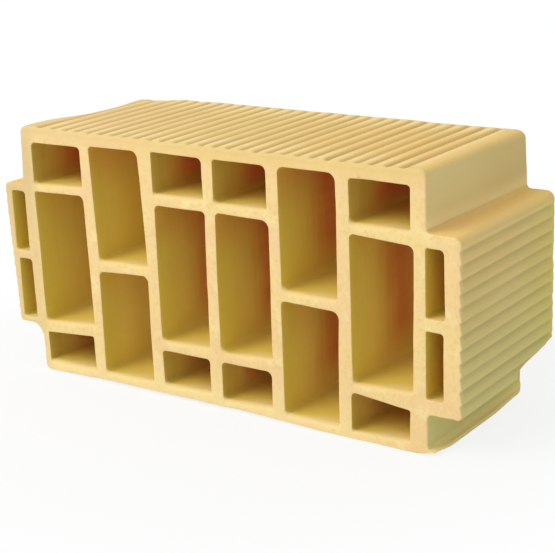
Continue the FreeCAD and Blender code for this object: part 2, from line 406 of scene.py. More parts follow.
def lean_left(loop):
    """The left side of the outline leans over its height, and the nose on it with its tip."""
    x, z = loop.T
    bottom, top = LEFT_NOSE
    fall = np.clip((top - z) / (top - bottom), 0, 1)
    wall = np.interp(z, (bottom, top, HEIGHT), (LEFT_LOWER_LEAN, LEFT_STEP_LEAN, LEFT_TOP_LEAN))
    tip = LEFT_TIP_LEAN * fall**LEFT_TIP_CURVE
    out = np.clip((LEFT_SIDE - x) / LEFT_REACH, 0, 1)
    inward = 1 - smoothstep(0, LEFT_LEAN_REACH, x - LEFT_SIDE)
    return np.column_stack([x + ((1 - out) * wall + out * tip) * inward, z])


def hollow_underside(loop):
    """The underside of the outline lies a little higher over part of its width."""
    x, z = loop.T
    hollow = HOLLOW_DEPTH * smoothstep(*HOLLOW_RISE, x) * (1 - smoothstep(*HOLLOW_FALL, x))
    return np.column_stack([x, z + hollow * (1 - smoothstep(0, OUTER_CORNER, z))])


def wall_traits(loop, deep_painted_shade, deep_painted_shade_start, floor_fade, shade):
    """How red the painted shade deep inside turns each point of a cell's outline, where that starts, its
    painted shade near the top, and how far across the cell it lies."""
    x, z = loop.T
    over_floor = smoothstep(0, floor_fade, z - z.min())
    return {
        "deep_painted_shade": deep_painted_shade * (DEEP_PAINTED_SHADE_AT_FLOOR + (1 - DEEP_PAINTED_SHADE_AT_FLOOR) * over_floor),
        "deep_painted_shade_start": deep_painted_shade_start * MM,
        "shade": shade * (1 - smoothstep(*TOP_PAINTED_SHADE_REACH, z.max() - z)),
        "across": (x - x.min()) / np.ptp(x),
    }


def cell_loops():
    """Outline of each cell and the traits of its walls."""
    loops = []
    for column in range(COLUMNS):
        left = LEFT_SIDE + SIDE_WALL + column * (CELL_WIDTH + UPRIGHT_WEB)
        levels = SPLIT_LEVELS if column in SPLIT_COLUMNS else THREE_LEVELS
        for index, level in enumerate(levels):
            cell = (column, index)
            loop = bend(cell_loop(cell, left, CELL_WIDTH, level))
            if level[1] - level[0] < SMALL_CELL:
                traits = wall_traits(loop, SMALL_DEEP_PAINTED_SHADE, SMALL_DEEP_PAINTED_SHADE_START, SMALL_FLOOR_FADE, 0)
                traits["small"] = 1
                traits["pale"] = LOW_CELL_PAINTED_LIGHT if index == 0 else 0
            else:
                start = DEEP_PAINTED_SHADE_START + DEEP_PAINTED_SHADE_DELAY.get(cell, 0)
                shade = TOP_PAINTED_SHADE.get(cell, USUAL_TOP_PAINTED_SHADE)
                traits = wall_traits(loop, DEEP_PAINTED_SHADE[column], start, FLOOR_FADE, shade)
                traits["pale"] = WALL_PAINTED_LIGHT.get(cell, 0)
            loops.append((loop, traits))
    for column, left in ((-1, LEFT_SIDE - NOSE_CELL_WIDTH), (COLUMNS, RIGHT_SIDE)):
        for index, level in enumerate(NOSE_LEVELS):
            loop = cell_loop((column, index), left, NOSE_CELL_WIDTH, level)
            traits = wall_traits(loop, NOSE_DEEP_PAINTED_SHADE[column], NOSE_DEEP_PAINTED_SHADE_START, SMALL_FLOOR_FADE, 0)
            traits["pale"] = NOSE_PAINTED_LIGHT
            loops.append((loop, traits))
    return loops


def groove_places(run, count):
    """Places and strengths of a row of flutes, which the die left a little unequal, and their pitch."""
    first, last = run
    pitch = (last - first) / (count - 1)
    places = first + pitch * np.arange(count) + RANDOM.uniform(-FLUTE_WANDER, FLUTE_WANDER, count)
    return places, RANDOM.uniform(*FLUTE_STRENGTH, count), pitch


def even_flutes(spots, run, count):
    """Depth in millimetres at each spot of the top or underside, and how far it is in a groove and on a
    ridge."""
    places, strength, pitch = groove_places(run, count)
    distance = np.abs(spots[:, None] - places)
    nearest = distance.argmin(axis=1)
    ridge_share = distance.min(axis=1) / (pitch / 2)
    groove = (1 - smoothstep(0, FLUTE_GROOVE_SHARE, ridge_share)) * strength[nearest]
    crown = np.clip(1 - ridge_share, 0, 1) ** 2
    return FLUTE_DEPTH * groove + FLUTE_CROWN * crown, groove, 1 - groove


def lapped_flutes(spots, run, count):
    """Depth in millimetres at each spot up a nose, how much painted shade it takes and how far it is on a
    ridge.
    """
    places, strength, pitch = groove_places(run, count)
    places = np.concatenate([[places[0] - pitch], places])
    strength = np.concatenate([[0], strength, [0]])
    below = np.clip(np.searchsorted(places, spots) - 1, 0, count)
    rise = np.clip((spots - places[below]) / pitch, 0, 1)
    step = strength[below] * (1 - smoothstep(0, LAP_SHARE, rise))
    swell = strength[below + 1] * (1 - np.clip((1 - rise) / (1 - LAP_SHARE), 0, 1) ** 2)
    lap = np.maximum(step, swell)
    nearest = np.abs(spots[:, None] - places[1:]).min(axis=1)
    groove = 1 - smoothstep(0, LAP_SHARE * pitch, nearest)
    # Painted shade: each band darkens upwards, and the groove under each ridge is dark
    band_shade_rise = LAP_SHADE_EVEN * rise + LAP_SHADE_EDGE * smoothstep(LAP_SHADE_EDGE_START, 1, rise)
    dust = np.maximum(strength[below + 1] * band_shade_rise, step)
    return NOSE_FLUTE_DEPTH * lap + NOSE_GROOVE_DEPTH * groove, dust, 1 - lap


def flute_depths(loop):
    """Depth of the flutes at each point of the outline, how far it is in a groove and on a ridge, and how
    the flutes run out."""
    x, z = loop.T
    depth, groove, ridge = np.zeros((3, len(loop)))
    runout = np.array([TOP_RUNOUT] * len(loop))
    run = (LEFT_SIDE + FLUTE_MARGIN, RIGHT_SIDE - FLUTE_MARGIN)
    for level, face_runout in ((HEIGHT, TOP_RUNOUT), (0, UNDER_RUNOUT)):
        on_face = np.abs(z - level) < ON_FACE
        depth[on_face], groove[on_face], ridge[on_face] = even_flutes(x[on_face], run, FLUTE_COUNT)
        ridge[on_face & ((x < run[0]) | (x > run[1]))] = 0
        runout[on_face] = face_runout
    for tip, (bottom, top), face_runout in (
        (HIGH[0], RIGHT_NOSE, RIGHT_RUNOUT),
        (LOW[0], LEFT_NOSE, LEFT_RUNOUT),
    ):
        on_face = np.abs(x - tip) < ON_FACE
        run = (bottom + NOSE_FLUTE_MARGIN, top - NOSE_FLUTE_MARGIN)
        shape = lapped_flutes(z[on_face], run, NOSE_FLUTE_COUNT)
        depth[on_face], groove[on_face], ridge[on_face] = shape
        runout[on_face] = face_runout
    return depth, groove, ridge, runout


def into_clay(loop, is_cell):
    """Unit vectors across the outline, pointing into the clay."""
    ahead = np.roll(loop, -1, axis=0) - np.roll(loop, 1, axis=0)
    ahead /= np.linalg.norm(ahead, axis=1)[:, None]
    leftward = np.column_stack([-ahead[:, 1], ahead[:, 0]])
    return -leftward if is_cell else leftward


def on_foot(loop):
    """True for the points of the foot along the lower right edge."""
    x, z = loop.T
    return (x > RIGHT_SIDE) & (z < FOOT_HEIGHT + FOOT_FILLET)


def rim_radii(loop, normals, is_cell, seed):
    """Radius of the soft arris at a cut end, with small nicks."""
    x, z = loop.T
    faces_up = np.clip(-normals[:, 1], 0, 1)
    if is_cell:
        base = CELL_RIM + (CELL_FLOOR_RIM - CELL_RIM) * faces_up
        base += (CELL_LEFT_RIM - CELL_RIM) * np.clip(-normals[:, 0], 0, 1)
        base[(x < LEFT_SIDE + OVERLAP) | (x > RIGHT_SIDE - OVERLAP)] = NOSE_CELL_RIM
        multiple, addition = CELL_RIM_LIMIT
        widest = np.minimum(multiple * base + addition, z - UNDERSIDE_CLEARANCE)
    else:
        on_top = smoothstep(HEIGHT - OUTER_CORNER, HEIGHT, z)
        base = SIDE_RIM + (TOP_RIM - SIDE_RIM) * faces_up * on_top
        base += (UNDER_RIM - SIDE_RIM) * np.clip(normals[:, 1], 0, 1) * (z < OUTER_CORNER)
        multiple, addition = RIM_LIMIT
        widest = multiple * base + addition
        widest[x < LEFT_SIDE] = THIN_WALL_RIM
        widest[on_foot(loop)] = FOOT_RIM
    radius = base * (1 + RIM_VARIATION * section_noise(loop, RIM_WAVELENGTH, seed))
    for _ in range(CELL_NICK_COUNT if is_cell else NICK_COUNT):
        spot = loop[RANDOM.integers(len(loop))]
        spread = RANDOM.uniform(*NICK_SPREAD)
        depth = RANDOM.uniform(*NICK_DEPTH)
        radius += depth * np.exp(-((loop - spot) ** 2).sum(axis=1) / (2 * spread**2))
    return np.minimum(radius, widest)


def cut_widths(loop, normals, is_cell):
    """How far the cream of a cut end reaches along the walls at each point of the outline."""
    faces_up = np.clip(-normals[:, 1], 0, 1)
    width = np.full(len(loop), CUT_WIDTH)
    if is_cell:
        width += (FLOOR_CUT_WIDTH - CUT_WIDTH) * faces_up
        width += (CELL_LEFT_CUT_WIDTH - CUT_WIDTH) * np.clip(-normals[:, 0], 0, 1)
    else:
        width += (TOP_CUT_WIDTH - CUT_WIDTH) * faces_up * (loop[:, 1] > HEIGHT - OUTER_CORNER)
    return width


def cut_relief(points, seed):
    """How far the cut end lies inside its plane: slow waves and fine grain."""
    slow = (section_noise(points, CAP_WAVELENGTH, seed) + 1) / 2
    fine = (section_noise(points, CAP_GRAIN_SIZE, seed + 1) + 1) / 2
    return CAP_WAVE * slow + CAP_GRAIN * fine


def outer_damage(loop):
    """How far the points of the outline slump, dip, lean to the right and lift, where each is strongest."""
    x, z = loop.T
    from_arris = np.linalg.norm(loop - np.array([LEFT_SIDE, HEIGHT]), axis=1)
    slump = SLUMP_DEPTH * np.exp(-(from_arris / SLUMP_SPREAD) ** 2)
    dip = DIP_DEPTH * np.exp(-((x - DIP_PLACE) / DIP_SPREAD) ** 2)
    dip *= smoothstep(HEIGHT - OUTER_CORNER, HEIGHT, z)
    near_right = smoothstep(RIGHT_SIDE - RIGHT_LEAN_REACH, RIGHT_SIDE, x)
    on_ledge = smoothstep(RIGHT_SIDE + STEP_CORNER, HIGH[0] - RIGHT_NOSE_UPPER_CORNER, x)
    over_nose = smoothstep(RIGHT_NOSE[1] - OVERLAP, RIGHT_NOSE[1], z)
    lean = np.interp(z, (RIGHT_NOSE[1], HEIGHT), (RIGHT_STEP_LEAN, RIGHT_TOP_LEAN))
    lean = lean * near_right * (1 - on_ledge) * over_nose
    lift = FOOT_LIFT * smoothstep(FOOT_LIFT_START, RIGHT_FOOT, x)
    lift *= 1 - smoothstep(0, FOOT_LIFT_HEIGHT, z)
    return slump, dip, lean, lift


def length_rows(front, back, front_rim, back_rim):
    """Places along the block and insets of the rows of points, from the front arris to the back one."""
    turns = np.linspace(0, math.pi / 2, RIM_STEPS + 1)
    rims = [(1 - math.cos(turn), 1 - math.sin(turn)) for turn in turns]
    rows = [(front + front_rim * along, front_rim * inset) for along, inset in rims]
    inner_front = front + front_rim
    even_parts = np.linspace(0, 1, LENGTH_STEPS + 1)[1:-1]
    for part in (END_PART, *even_parts, 1 - END_PART):
        rows.append((inner_front + part * (back - back_rim - inner_front), np.zeros(len(front))))
    return rows + [(back - back_rim * along, back_rim * inset) for along, inset in rims[::-1]]


def surface_wave(place, from_end, is_cell):
    """How far the surface waves into the clay at each place."""
    stretched = place * WAVE_STRETCH
    if is_cell:
        wave = CELL_WAVE * noise(stretched, CELL_WAVELENGTH, CELL_WAVE_SEED)
        return wave * smoothstep(0, CELL_WAVE_START, from_end)
    return SKIN_WAVE * (noise(stretched, SKIN_WAVELENGTH, SKIN_WAVE_SEED) + 1) / 2


def sweep(loop, is_cell, seed):
    """Rows of points along the block for one outline, with a rounded arris at both cut ends, and the traits
    of the points."""
    depth, groove, ridge, slump, dip, lean, lift = np.zeros((7, len(loop)))
    runout = np.array([TOP_RUNOUT] * len(loop))
    in_foot = on_foot(loop)
    if not is_cell:
        depth, groove, ridge, runout = flute_depths(loop)
        slump, dip, lean, lift = outer_damage(loop)
        loop = hollow_underside(lean_left(loop))
    runout_start, runout_end, share_at_cut = runout.T
    normals = into_clay(loop, is_cell)
    front_rim = rim_radii(loop, normals, is_cell, seed)
    back_rim = rim_radii(loop, normals, is_cell, seed + 1)
    front = FRONT + cut_relief(loop, FRONT_SEED)
    back = BACK - cut_relief(loop, BACK_SEED)
    points = []
    groove_rows = []
    ridge_rows = []
    for along, rim_inset in length_rows(front, back, front_rim, back_rim):
        from_end = np.minimum(along - FRONT, BACK - along)
        share_along = np.clip((along - FRONT) / LENGTH, 0, 1)
        full = smoothstep(runout_start, runout_end, from_end)
        groove_rows.append(groove * full)
        ridge_rows.append(ridge * full)
        wave = surface_wave(np.column_stack([loop[:, 0], along, loop[:, 1]]), from_end, is_cell)
        shallow = 1 - FLUTE_BACK_FADE * smoothstep(BACK - FLUTE_BACK_LENGTH, BACK, along)
        inset = rim_inset + depth * shallow * (share_at_cut + (1 - share_at_cut) * full) + wave
        slumped = smoothstep(*SLUMP_RISE, share_along)
        slumped *= 1 - SLUMP_FALL_SHARE * smoothstep(*SLUMP_FALL, share_along)
        moved = loop + normals * inset[:, None] + SLUMP_WAY * (slump * slumped)[:, None]
        moved[:, 0] += lean * share_along
        moved[:, 1] -= dip * smoothstep(BACK - DIP_LENGTH, BACK, along)
        moved[:, 1] += lift * (1 - smoothstep(FRONT, FRONT + FOOT_LIFT_LENGTH, along))
        foot_left = 1 - FOOT_WORN_SHARE * smoothstep(BACK - FOOT_WORN_LENGTH, BACK - FOOT_END_LENGTH, along)
        foot_left *= 1 - smoothstep(BACK - FOOT_END_LENGTH, BACK, along)
        foot_reach = np.where(in_foot, np.clip(moved[:, 0] - RIGHT_SIDE, 0, None), 0)
        moved[:, 0] -= (1 - foot_left) * foot_reach
        points.append(np.column_stack([moved[:, 0], along, moved[:, 1]]))
    row_count = len(points)
    traits = {
        "cell_wall": np.full(row_count * len(loop), float(is_cell)),
        "groove": np.concatenate(groove_rows),
        "ridge": np.concatenate(ridge_rows),
        "cut_width": np.tile(cut_widths(loop, normals, is_cell) * MM, row_count),
        "faces_up": np.tile(np.clip(-normals[:, 1], 0, 1), row_count),
    }
    return np.array(points), traits


def inside_outline(points, loop):
    """True where a point of the section lies inside the closed outline."""
    x, z = points.T[:, :, None]
    start, end = loop, np.roll(loop, -1, axis=0)
    spans = (start[:, 1] > z) != (end[:, 1] > z)
    rise = np.where(end[:, 1] == start[:, 1], 1, end[:, 1] - start[:, 1])
    crossing = start[:, 0] + (z - start[:, 1]) / rise * (end[:, 0] - start[:, 0])
    return (spans & (x < crossing)).sum(axis=1) % 2 == 1


def between_outlines(points, loops):
    """True where a point of the section lies inside the first outline and outside the others."""
    in_clay = inside_outline(points, loops[0])
    for loop in loops[1:]:
        in_clay &= ~inside_outline(points, loop)
    return in_clay


def cut_end(loops):
    """Triangles over the clay between the outlines at one cut end, with spare points in the webs."""
    rim = np.vstack(loops)
    xs = np.arange(LOW[0], HIGH[0], CAP_STEP)
    zs = np.arange(LOW[2], HIGH[2], CAP_STEP)
    grid = np.array([(x + (row % 2) * CAP_STEP / 2, z) for row, z in enumerate(zs) for x in xs])
    grid += RANDOM.uniform(-CAP_JITTER, CAP_JITTER, grid.shape) * CAP_STEP
    grid = grid[between_outlines(grid, loops)]
    nearest = np.array([np.min(((rim - spot) ** 2).sum(axis=1)) for spot in grid])
    grid = grid[nearest > CAP_CLEARANCE**2]
    edges = []
    first = 0
    for loop in loops:
        count = len(loop)
        edges += [(first + k, first + (k + 1) % count) for k in range(count)]
        first += count
    spots = [Vector(spot) for spot in np.vstack([rim, grid])]
    placed, _, found, *_ = delaunay_2d_cdt(spots, edges, [], 0, CAP_MERGE)
    if len(placed) != len(spots):
        crossings = [tuple(spot) for spot in placed[len(spots):]]
        raise RuntimeError(f"the outlines of the cut end cross or touch: {crossings}")
    triangles = np.array(found)
    centres = np.array([tuple(spot) for spot in placed])[triangles].mean(axis=1)
    return grid, triangles[between_outlines(centres, loops)]


def break_corner(points):
    """Breaks off the back lower corner of the right nose along a slanting face and a steep front one."""
    tip = np.array([HIGH[0], BACK, RIGHT_NOSE[0]])
    front = tip - np.array([0, BREAK_ALONG, -BREAK_UP_FRONT])
    up = tip + np.array([0, 0, BREAK_UP_BACK])
    across = tip - np.array([BREAK_ACROSS, 0, 0])
    long_face = unit(np.cross(up - front, across - front))
    long_face *= np.sign(long_face @ (tip - front))
    front_face = np.array([0, math.cos(BREAK_FRONT_SLOPE), -math.sin(BREAK_FRONT_SLOPE)])
    rough = noise(points, BREAK_WAVELENGTH, BREAK_SEEDS[0])
    rough += BREAK_FINE_SHARE * noise(points, BREAK_FINE_WAVELENGTH, BREAK_SEEDS[1])
    beyond_long = (points - front) @ long_face + BREAK_ROUGHNESS * rough
    beyond_front = (points - front) @ front_face + BREAK_ROUGHNESS * rough
    on_nose = (points[:, 0] > RIGHT_SIDE) & (points[:, 2] > RIGHT_NOSE[0] - OVERLAP)
    cut = on_nose & (beyond_long > 0) & (beyond_front > 0)
    to_long = cut & (beyond_long <= beyond_front)
    to_front = cut & (beyond_long > beyond_front)
    points[to_long] -= beyond_long[to_long][:, None] * long_face
    points[to_front] -= beyond_front[to_front][:, None] * front_face
    return cut


def add_object(name, data):
    """New object in the scene."""
    made = bpy.data.objects.new(name, data)
    bpy.context.scene.collection.objects.link(made)
    return made


def build_block():
    """The whole block as one closed mesh: swept outlines and two cut ends."""
    loops = [(outer_loop(), {})] + cell_loops()
    places = []
    faces = []
    wall_names = ("deep_painted_shade", "deep_painted_shade_start", "pale", "shade", "across", "small")
    traits = {}
    ends = {0: ([], []), -1: ([], [])}
    first = 0
    for index, (loop, of_wall) in enumerate(loops):
        is_cell = index > 0
        rows, loop_traits = sweep(loop, is_cell, RIM_SEED + 2 * index)
        row_count, count = rows.shape[:2]
        for name in wall_names:
            of_points = np.broadcast_to(np.asarray(of_wall.get(name, 0), float), count)
            loop_traits[name] = np.tile(of_points, row_count)
        ids = first + np.arange(row_count * count).reshape(row_count, count)
        beside = np.roll(ids, -1, axis=1)
        quads = np.stack([ids[:-1], beside[:-1], beside[1:], ids[1:]], axis=-1).reshape(-1, 4)
        faces.append(quads if is_cell else quads[:, [0, 3, 2, 1]])
        places.append(rows.reshape(-1, 3))
        for name, values in loop_traits.items():
            traits.setdefault(name, []).append(values)
        for row, (end_loops, end_ids) in ends.items():
            end_loops.append(rows[row][:, [0, 2]])
            end_ids.append(ids[row])
        first += row_count * count
    for row, plane, sign, seed in ((0, FRONT, 1, FRONT_SEED), (-1, BACK, -1, BACK_SEED)):
        end_loops, end_ids = ends[row]
        grid, triangles = cut_end(end_loops)
        along = plane + sign * cut_relief(grid, seed)
        places.append(np.column_stack([grid[:, 0], along, grid[:, 1]]))
        ids = np.concatenate(end_ids + [first + np.arange(len(grid))])
        faces.append(ids[triangles] if sign > 0 else ids[triangles[:, ::-1]])
        for name, values in traits.items():
            values.append(np.full(len(grid), CUT_WIDTH * MM if name == "cut_width" else 0.0))
        first += len(grid)
    points = np.vstack(places)
    traits["broken"] = [break_corner(points).astype(float)]
    points = np.clip(points, LOW, HIGH)
    mesh = bpy.data.meshes.new("fired_clay_block")
    mesh.from_pydata((points * MM).tolist(), [], [face for part in faces for face in part.tolist()])
    mesh.polygons.foreach_set("use_smooth", [True] * len(mesh.polygons))
    for name, values in traits.items():
        mesh.attributes.new(name, "FLOAT", "POINT").data.foreach_set("value", np.concatenate(values))
    mesh.update()
    return add_object("fired_clay_block", mesh)


def colour(red, green, blue):
    """Linear colour of an sRGB value given in 0 to 255."""
    def linear(value):
        value /= 255
        return value / 12.92 if value <= 0.04045 else ((value + 0.055) / 1.055) ** 2.4
    return (linear(red), linear(green), linear(blue), 1)


CREAM = colour(244, 215, 151)
CREAM_WARM = colour(244, 207, 154)
CREAM_PALE = colour(251, 229, 168)
# Painted highlight on the ridges between the flutes
CREAM_RIDGE_HIGHLIGHT = colour(250, 217, 146)
LEFT_EDGE = colour(218, 190, 140)
SKIN = colour(237, 202, 134)
SKIN_SHADE = colour(222, 194, 128)
SKIN_PINK = colour(237, 202, 150)
SKIN_AMBER = colour(237, 193, 113)
SKIN_GREEN = colour(212, 207, 138)
SKIN_OLIVE = colour(222, 208, 98)
# Painted warm bounce light on the ledges of the noses
SKIN_PAINTED_BOUNCE_LIGHT = colour(240, 198, 124)
SIDE_FRONT = colour(228, 205, 142)
SIDE_BACK = colour(217, 190, 128)
# Dust and painted shade in the flutes: those that face up, and the others
GROOVE_DUST_AND_SHADE = colour(200, 156, 90)
GROOVE_SHADE = colour(180, 161, 100)
CELL_NEAR = colour(224, 198, 82)
CELL_MIDDLE = colour(232, 204, 97)
# Red-brown of the painted shade deep inside the tall cells
CELL_DEEP = colour(226, 140, 74)
# Painted light that pales the walls deeper inside some cells
CELL_PAINTED_LIGHT = colour(252, 224, 116)
CELL_FLOOR = colour(228, 199, 91)
SMALL_NEAR = colour(206, 175, 79)
SMALL_MIDDLE = colour(233, 195, 94)
# Red-brown of the painted shade deep inside the small cells
SMALL_DEEP = colour(249, 150, 90)
SPECK = colour(196, 152, 92)
WHITE = (1, 1, 1, 1)
# Painted shade under the ceiling: darkens the walls of the cells near their tops
CELL_TOP_PAINTED_SHADE = (0.93, 0.72, 0.78, 1)

# Noises of the clay: scale, detail and roughness
BROAD = (16.0, 3.0, 0.55)
PATCHES = (55.0, 3.0, 0.55)
STREAKS = (170.0, 4.0, 0.55)
BANDS = (260.0, 2.0, 0.55)
FINE = (300.0, 2.0, 0.6)
GRAIN = (900.0, 2.0, 0.7)
NOISE_MIDDLE = 0.5
ALONG_DIE = (1.0, 0.06, 1.0)
ACROSS_DIE = (0.06, 1.0, 0.06)

# Between which values of a noise, or places in metres, each of these comes in, and third its share there
CUT_WARM_AT = (0.35, 0.68)
CUT_PALE_AT = (0.5, 0.7, 0.6)
CUT_FLECK_AT = (0.45, 0.7, 0.7)
BOTTOM_EDGE_AT = (0.004, 0.045)
BOTTOM_EDGE_RIGHT_AT = (0.11, 0.165)
BOTTOM_EDGE_SHARE = 0.5
LEFT_EDGE_AT = (-0.178, -0.163)
LEFT_EDGE_UPPER_AT = (0.1, 0.165, 0.4)
LEFT_EDGE_SHARE = 0.4
TOP_EDGE_AT = (0.182, 0.196, 0.7)
# Painted shade along the top arris of the cut ends
ARRIS_PAINTED_SHADE_AT = (0.193, 0.198, 0.5)
TO_RIGHT_AT = (-0.14, -0.02)
STREAK_AT = (0.3, 0.72)
SKIN_CREAM_AT = (0.4, 0.7, 0.4)
LOW_AT = (RIGHT_NOSE[0] * MM, RIGHT_NOSE[1] * MM)
UPPER_AT = (RIGHT_NOSE[1] * MM, (RIGHT_NOSE[1] + 4) * MM)
GREEN_SHARE = 0.75
SIDE_AT = (-0.06, 0.06)
SIDE_SHARE = 0.85
# Painted light on the side walls just over the ledges, where shade falls in the corner
PAINTED_LIGHT_OVER_STEP_AT = (0.158, 0.172)
PINK_SHARE = 0.6
AMBER_AT = (-0.02, 0.12, 0.5)
# Painted highlight along the right edge of the top
HIGHLIGHT_BAND_START_AT = (0.155, 0.162)
HIGHLIGHT_BAND_END_AT = (0.164, 0.172)
HIGHLIGHT_BAND_SHARE = 0.5
OLIVE_AT = (0.0, 0.07, 0.45)
# Painted warm bounce light on the ledges of the noses
LEDGE_START_AT = (0.02, 0.04)
LEDGE_END_AT = (0.175, 0.19)
LEDGE_SHARE = 0.8
RIDGE_HIGHLIGHT_SHARE = 0.3
# Painted light along the bottom of the skin, against the shade next to the floor
FOOT_PAINTED_LIGHT_AT = (0.002, 0.008)
FOOT_PAINTED_LIGHT_SHARE = 0.8
BROAD_WAVER = 0.03
BAND_WAVER = 0.016
MIDDLE_AT = (0.004, 0.034)
# Painted light deeper inside the cells: paler walls, and creamier lower walls
WALL_PAINTED_LIGHT_AT = (0.006, 0.034)
LOW_WALL_PAINTED_LIGHT_AT = (0.012, 0.045, 0.3)
WALL_STREAK_AT = (0.35, 0.7, 0.12)
FLOOR_SHARE = 0.85
# Painted light on the cell floors: cream near the front, reaching further in towards the right
FLOOR_ACROSS_AT = (0.1, 0.75)
FLOOR_PAINTED_LIGHT_START = 0.002
FLOOR_PAINTED_LIGHT_REACH = 0.005
FLOOR_PAINTED_LIGHT_GROWTH = 0.015
FLOOR_PAINTED_LIGHT_SHARE = 0.88
NEAR_END_AT = (0.008, 0.045)
# Painted highlight on the front ends of the top's ridges
RIDGE_END_HIGHLIGHT_SHARE = 0.55
# Dust and painted shade in the flutes, more on the top and near the cut ends
DUST_AND_SHADE_SHARE = 0.54
TOP_DUST_AND_SHADE_SHARE = 0.18
END_DUST_AND_SHADE_SHARE = 0.2
SPECK_AT = (0.66, 0.8, 0.4)

# Fine relief and gloss of the clay
PORE_SCALE = 260.0
PIT_AT = (0.02, 0.22)
GRAIN_RELIEF = 0.45
STREAK_RELIEF = 0.3
PIT_RELIEF = 0.35
BUMP_STRENGTH = 0.5
BUMP_DISTANCE = 0.0006
LEAST_ROUGHNESS = 0.78
ROUGHNESS_RANGE = 0.2
SPECULAR = 0.25


class Nodes:
    """Short way to add linked nodes to a material or world."""

    def __init__(self, owner):
        owner.use_nodes = True
        self.tree = owner.node_tree
        self.tree.nodes.clear()

    def add(self, kind, inputs=None, **settings):
        made = self.tree.nodes.new(kind)
        for name, value in settings.items():
            setattr(made, name, value)
        for socket, value in (inputs or {}).items():
            if isinstance(value, bpy.types.NodeSocket):
                self.tree.links.new(value, made.inputs[socket])
            else:
                made.inputs[socket].default_value = value
        return made

    def math(self, operation, first, second=0.0):
        return self.add("ShaderNodeMath", {0: first, 1: second}, operation=operation).outputs[0]

    def plus(self, first, second):
        return self.math("ADD", first, second)

    def less(self, first, second):
        return self.math("SUBTRACT", first, second)

    def times(self, first, second):
        return self.math("MULTIPLY", first, second)

    def rest(self, value):
        """What the value leaves of 1."""
        return self.less(1.0, value)

    def mix(self, factor, first, second, blend="MIX"):
        """Mix of two colours, whose sockets follow those of numbers and vectors."""
        inputs = {0: factor, 6: first, 7: second}
        return self.add("ShaderNodeMix", inputs, data_type="RGBA", blend_type=blend).outputs[2]

    def attribute(self, name):
        return self.add("ShaderNodeAttribute", attribute_name=name).outputs["Fac"]

    def stretch(self, vector, factors):
        made = self.add("ShaderNodeVectorMath", {0: vector, 1: factors}, operation="MULTIPLY")
        return made.outputs["Vector"]

    def noise(self, vector, scale, detail, roughness):
        inputs = {"Vector": vector, "Scale": scale, "Detail": detail, "Roughness": roughness}
        return self.add("ShaderNodeTexNoise", inputs).outputs["Fac"]

    def ramp(self, value, low, high):
        inputs = {"Value": value, "From Min": low, "From Max": high}
        made = self.add("ShaderNodeMapRange", inputs, interpolation_type="SMOOTHSTEP")
        return made.outputs["Result"]

    def part(self, value, low, high, share):
        """The ramp of the value times a share."""
        return self.times(self.ramp(value, low, high), share)


class ClayFields:
    """Places, noises and traits of the mesh's points that several colours of the clay follow."""

    def __init__(self, nodes):
        self.place = nodes.add("ShaderNodeTexCoord").outputs["Object"]
        self.x, self.y, self.z = nodes.add("ShaderNodeSeparateXYZ", {0: self.place}).outputs
        self.depth = nodes.less(LENGTH / 2 * MM, nodes.math("ABSOLUTE", self.y))
        self.to_right = nodes.ramp(self.x, *TO_RIGHT_AT)
        self.low = nodes.rest(nodes.ramp(self.z, *LOW_AT))
        self.upper = nodes.ramp(self.z, *UPPER_AT)
        self.broad = nodes.noise(self.place, *BROAD)
        self.patches = nodes.noise(self.place, *PATCHES)
        self.streaks = nodes.noise(nodes.stretch(self.place, ALONG_DIE), *STREAKS)
        self.bands = nodes.noise(nodes.stretch(self.place, ACROSS_DIE), *BANDS)
        self.fine = nodes.noise(self.place, *FINE)
        self.grain = nodes.noise(self.place, *GRAIN)
        self.faces_up = nodes.attribute("faces_up")
        self.ridge = nodes.attribute("ridge")


def cut_colour(nodes, clay):
    """Cut ends: cream with warmer and paler patches, pale at the bottom, darker at the left and top, and
    with painted shade along the top arris.
    """
    cut = nodes.mix(nodes.ramp(clay.broad, *CUT_WARM_AT), CREAM, CREAM_WARM)
    cut = nodes.mix(nodes.part(clay.patches, *CUT_PALE_AT), cut, CREAM_PALE)
    cut = nodes.mix(nodes.part(clay.fine, *CUT_FLECK_AT), cut, SKIN)
    bottom_edge = nodes.rest(nodes.ramp(clay.z, *BOTTOM_EDGE_AT))
    bottom_share = nodes.times(nodes.rest(nodes.ramp(clay.x, *BOTTOM_EDGE_RIGHT_AT)), BOTTOM_EDGE_SHARE)
    cut = nodes.mix(nodes.times(bottom_edge, bottom_share), cut, CREAM_PALE)
    left_edge = nodes.rest(nodes.ramp(clay.x, *LEFT_EDGE_AT))
    left_share = nodes.plus(LEFT_EDGE_SHARE, nodes.part(clay.z, *LEFT_EDGE_UPPER_AT))
    cut = nodes.mix(nodes.times(left_edge, left_share), cut, LEFT_EDGE)
    top_colour = nodes.mix(clay.to_right, SKIN_PINK, SKIN)
    cut = nodes.mix(nodes.part(clay.z, *TOP_EDGE_AT), cut, top_colour)
    # Painted shade along the top arris
    return nodes.mix(nodes.part(clay.z, *ARRIS_PAINTED_SHADE_AT), cut, SKIN_SHADE)


